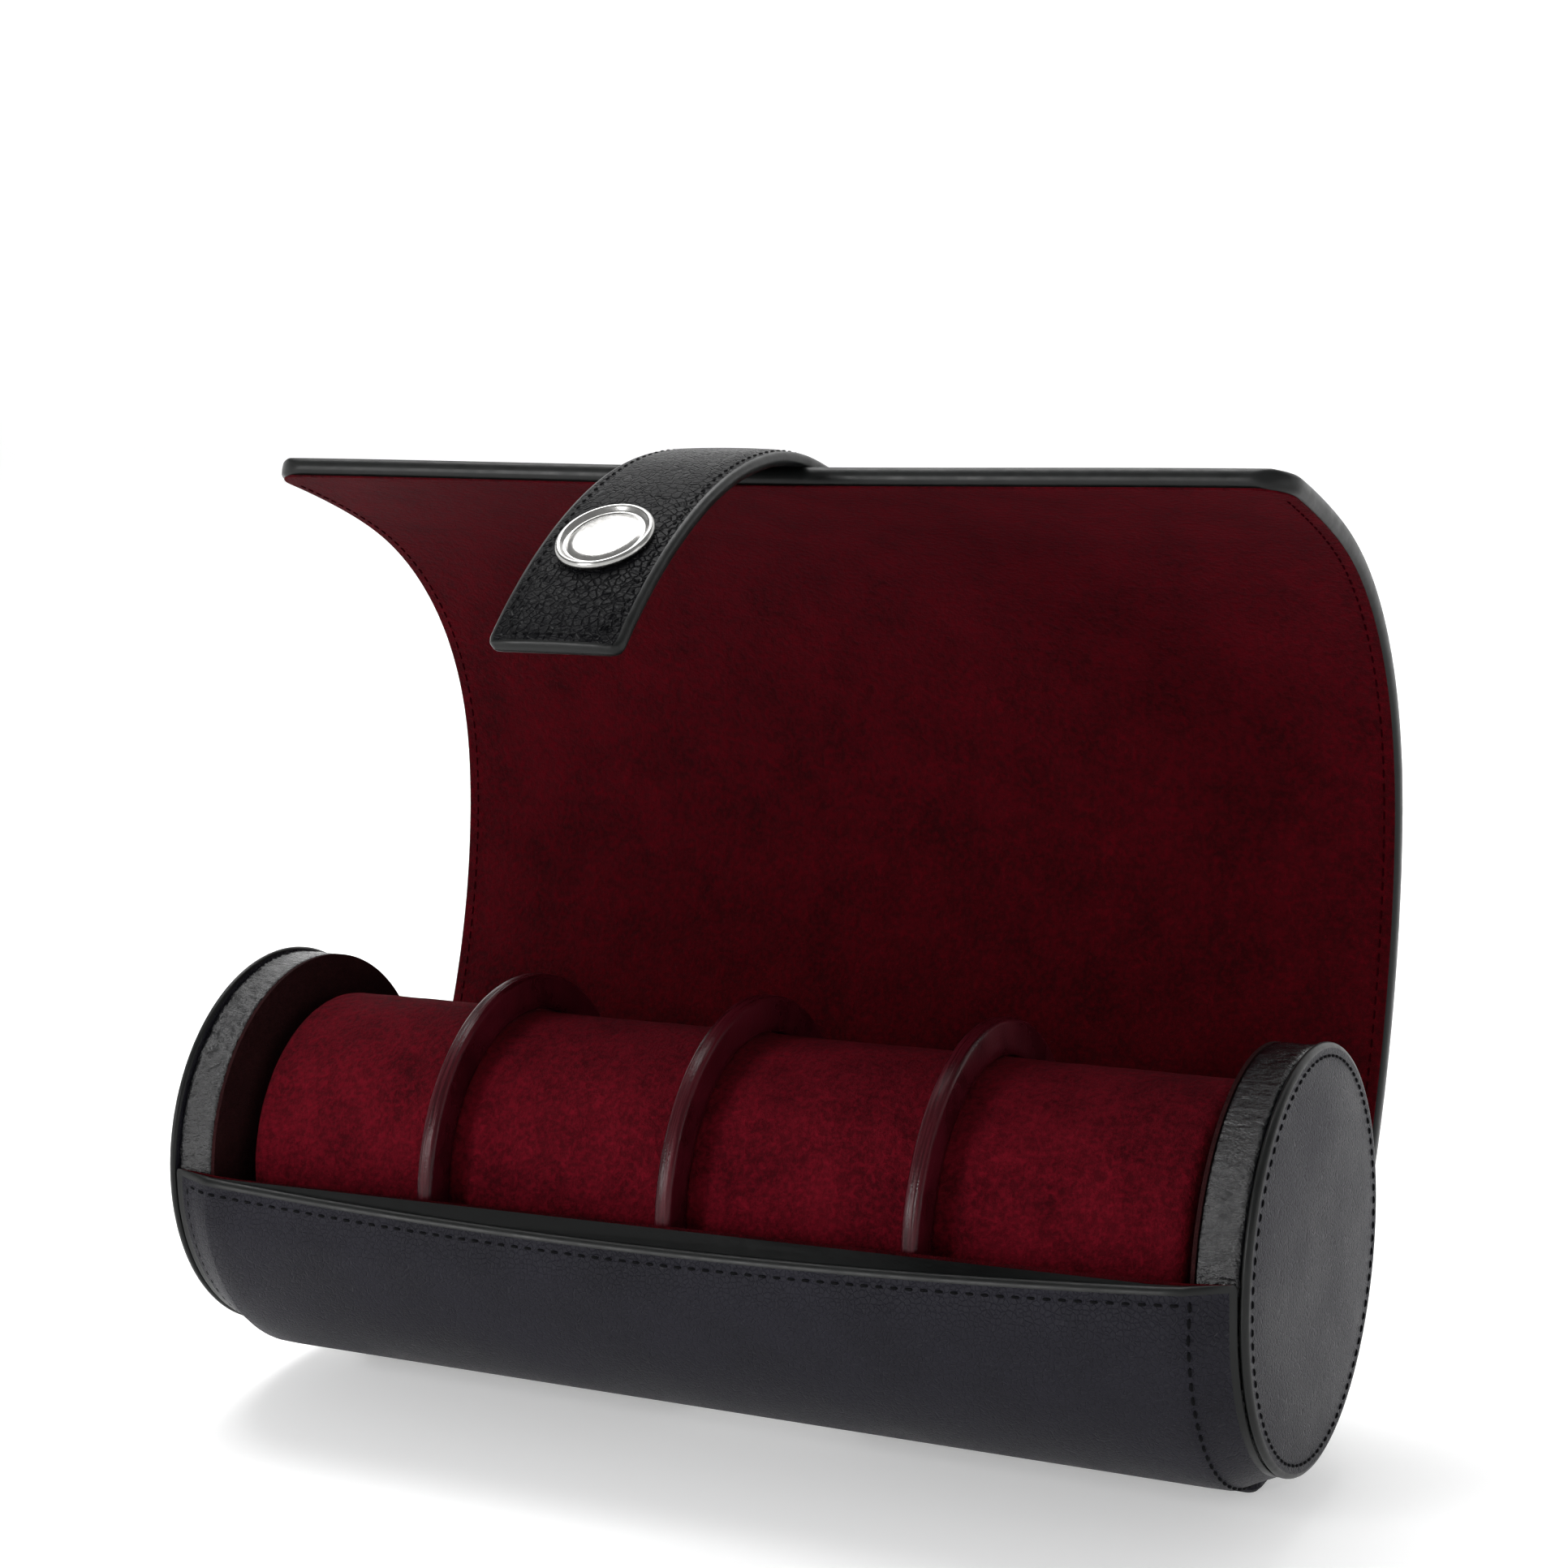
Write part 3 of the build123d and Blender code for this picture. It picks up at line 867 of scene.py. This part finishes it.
def make_band(side, suffix):
    """The gathered leather band round an end block."""
    width = BLOCK_HIGH - BLOCK_LOW
    columns = 10
    inside = 39.0
    shoulder = BORE_R - 1.0
    top = [(BLOCK_LOW + 0.5 + (width - 1.0) * i / columns, BORE_R - 0.25) for i in range(columns + 1)]
    profile = [(BLOCK_HIGH, inside), (BLOCK_LOW, inside), (BLOCK_LOW, shoulder)] + top
    profile += [(BLOCK_HIGH, shoulder)]

    def crinkle(x, r, a):
        if r < BORE_R - 0.6:
            return x, r
        fine = noise.noise(Vector((x * 0.35 + side * 9, math.cos(a) * 60, math.sin(a) * 60)))
        pleat = noise.noise(Vector((x * 0.08, math.cos(a) * 110, math.sin(a) * 110 + side * 5)))
        toward_rim = smoothstep(x, BLOCK_LOW + width * 0.45, BLOCK_HIGH)
        return x, r + 0.16 * fine + 0.22 * pleat * toward_rim - 0.1

    band = lathe("rim_band_gathered" + suffix, profile, ["crinkle_leather"], 720, side, crinkle)
    flip_inside_out(band)
    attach(band, "case")
    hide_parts("rim_band" + suffix)


def make_disc(side, suffix):
    """The padded outer disc with its rolled, painted edge."""
    x1 = HALF_LENGTH
    pad = 0.9
    crown_r = (8, 16, 22, 27, 31, 34, 36.5, 38.2)
    crown = [(x1 + pad, 0)] + [(x1 + pad * (1 - (r / 38.5) ** 4), r) for r in crown_r]
    groove = [(x1 - 0.05, 39.4), (x1 - 0.15, DISC_STITCH_R), (x1 - 0.05, 41.0)]
    edge = arc_points(x1 - 1.1, DISC_R - 1.1, 1.1, 0, 90, 5)
    back = [(DISC_INNER_X + 0.5, DISC_R), (DISC_INNER_X, DISC_R - 0.6), (DISC_INNER_X, 0)]
    face = solid_lathe("end_disc_leather" + suffix, crown + groove + edge + back,
                       ["black_leather", "edge_paint"], 220, side)
    flip_inside_out(face)
    for polygon in face.data.polygons:
        c = polygon.center
        radius = math.hypot(c.y / MM - AXIS[0], c.z / MM - AXIS[1])
        if radius > DISC_R - 1.0:
            polygon.material_index = 1
    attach(face, "case")
    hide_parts("end_cap" + suffix, "end_pad" + suffix)


def make_disc_stitches(side, suffix):
    """The ring of stitches round the disc."""
    spots = []
    count = int(2 * math.pi * DISC_STITCH_R / 2.7)
    for k in range(count):
        a = 2 * math.pi * k / count
        y = AXIS[0] + DISC_STITCH_R * math.cos(a)
        z = AXIS[1] + DISC_STITCH_R * math.sin(a)
        centre = (side * (HALF_LENGTH - 0.1), y, z)
        spots.append((centre, (0, -math.sin(a), math.cos(a)), (side, 0, 0)))
    ring = stitch_mesh("end_disc_stitches" + suffix, spots, "thread", 1.8, 0.3)
    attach(ring, "case")


def make_end(side):
    suffix = "_right" if side > 0 else "_left"
    make_band(side, suffix)
    make_disc(side, suffix)
    make_disc_stitches(side, suffix)


# --- studio ----------------------------------------------------------------------------

def area_light(name, place, target, size, power):
    data = bpy.data.lights.new(name, "AREA")
    data.shape = "RECTANGLE"
    data.size, data.size_y = size
    data.energy = power
    obj = bpy.data.objects.new(name, data)
    bpy.context.scene.collection.objects.link(obj)
    obj.location = place
    obj.rotation_euler = (Vector(target) - Vector(place)).to_track_quat("-Z", "Y").to_euler()


def stage_mesh(name, corners, glow):
    """A pale, slightly glowing flat sheet that is not part of the object."""
    mesh = bpy.data.meshes.new(name)
    mesh.from_pydata(corners, [], [(0, 1, 2, 3)])
    obj = bpy.data.objects.new(name, mesh)
    bpy.context.scene.collection.objects.link(obj)
    material, tree, shader, place = new_material(name)
    shade = ramp(tree, noise_node(tree, place, 3), 0.3, 0.7, (0.87, 0.87, 0.87), (0.9, 0.9, 0.9))
    tree.links.new(shade, shader.inputs["Base Color"])
    shader.inputs["Roughness"].default_value = 0.9
    shader.inputs["Specular IOR Level"].default_value = 0.0
    shader.inputs["Emission Color"].default_value = (1, 1, 1, 1)
    shader.inputs["Emission Strength"].default_value = glow
    mesh.materials.append(material)


def make_studio():
    """A pale floor with a low plain backdrop all round, soft lights, and an even sky."""
    reach = 7.0
    back = 4.5
    below = -0.5
    corners = [(-reach, back), (reach, back), (reach, -reach), (-reach, -reach)]
    stage_mesh("studio_floor", [(x, y, 0) for x, y in (corners[3], corners[2], corners[1], corners[0])], 0.30)
    for index, (name, height) in enumerate((("back", 5.0), ("right", 2.2), ("front", 2.2), ("left", 2.2))):
        (x0, y0), (x1, y1) = corners[index], corners[(index + 1) % 4]
        wall = [(x0, y0, below), (x1, y1, below), (x1, y1, height), (x0, y0, height)]
        stage_mesh("studio_backdrop_" + name, wall, 0.75)
    world = bpy.data.worlds.new("studio")
    bpy.context.scene.world = world
    world.use_nodes = True
    world.node_tree.nodes["Background"].inputs["Color"].default_value = (1, 1, 1, 1)
    world.node_tree.nodes["Background"].inputs["Strength"].default_value = 0.4
    middle = (0, 0, 0.08)
    area_light("key_front_left", (-0.75, -1.35, 0.62), middle, (0.3, 0.5), 12)
    area_light("top_back", (-0.4, 0.5, 1.6), middle, (1.4, 0.7), 26)
    area_light("right", (1.3, -0.2, 0.5), middle, (0.2, 0.7), 0.8)


def make_camera():
    data = bpy.data.cameras.new("photo_camera")
    data.lens = CAMERA_LENS
    data.sensor_width = 36.0
    data.clip_start = 0.01
    camera = bpy.data.objects.new("photo_camera", data)
    bpy.context.scene.collection.objects.link(camera)
    cy, sy = math.cos(CAMERA_YAW), math.sin(CAMERA_YAW)
    cp, sp = math.cos(CAMERA_PITCH), math.sin(CAMERA_PITCH)
    forward = Vector((-sy * cp, cy * cp, sp))
    right = Vector((cy, sy, 0))
    up = right.cross(forward)
    cr, sr = math.cos(CAMERA_ROLL), math.sin(CAMERA_ROLL)
    right_rolled = right * cr + up * sr
    up_rolled = up * cr - right * sr
    matrix = Matrix((right_rolled, up_rolled, -forward)).transposed().to_4x4()
    x, y, z = CAMERA_PLACE
    matrix.translation = Vector((x, y + AXIS[0], z + AXIS[1])) * MM
    camera.matrix_world = matrix
    bpy.context.scene.camera = camera
    bpy.context.scene.view_settings.view_transform = "Standard"


paint_cad_nodes()
make_camera()
make_studio()
make_wrap()
make_strap()
make_snap()
make_roll()
for divider_number in (1, 2, 3):
    make_divider(divider_number)
for end_side in (1, -1):
    make_end(end_side)
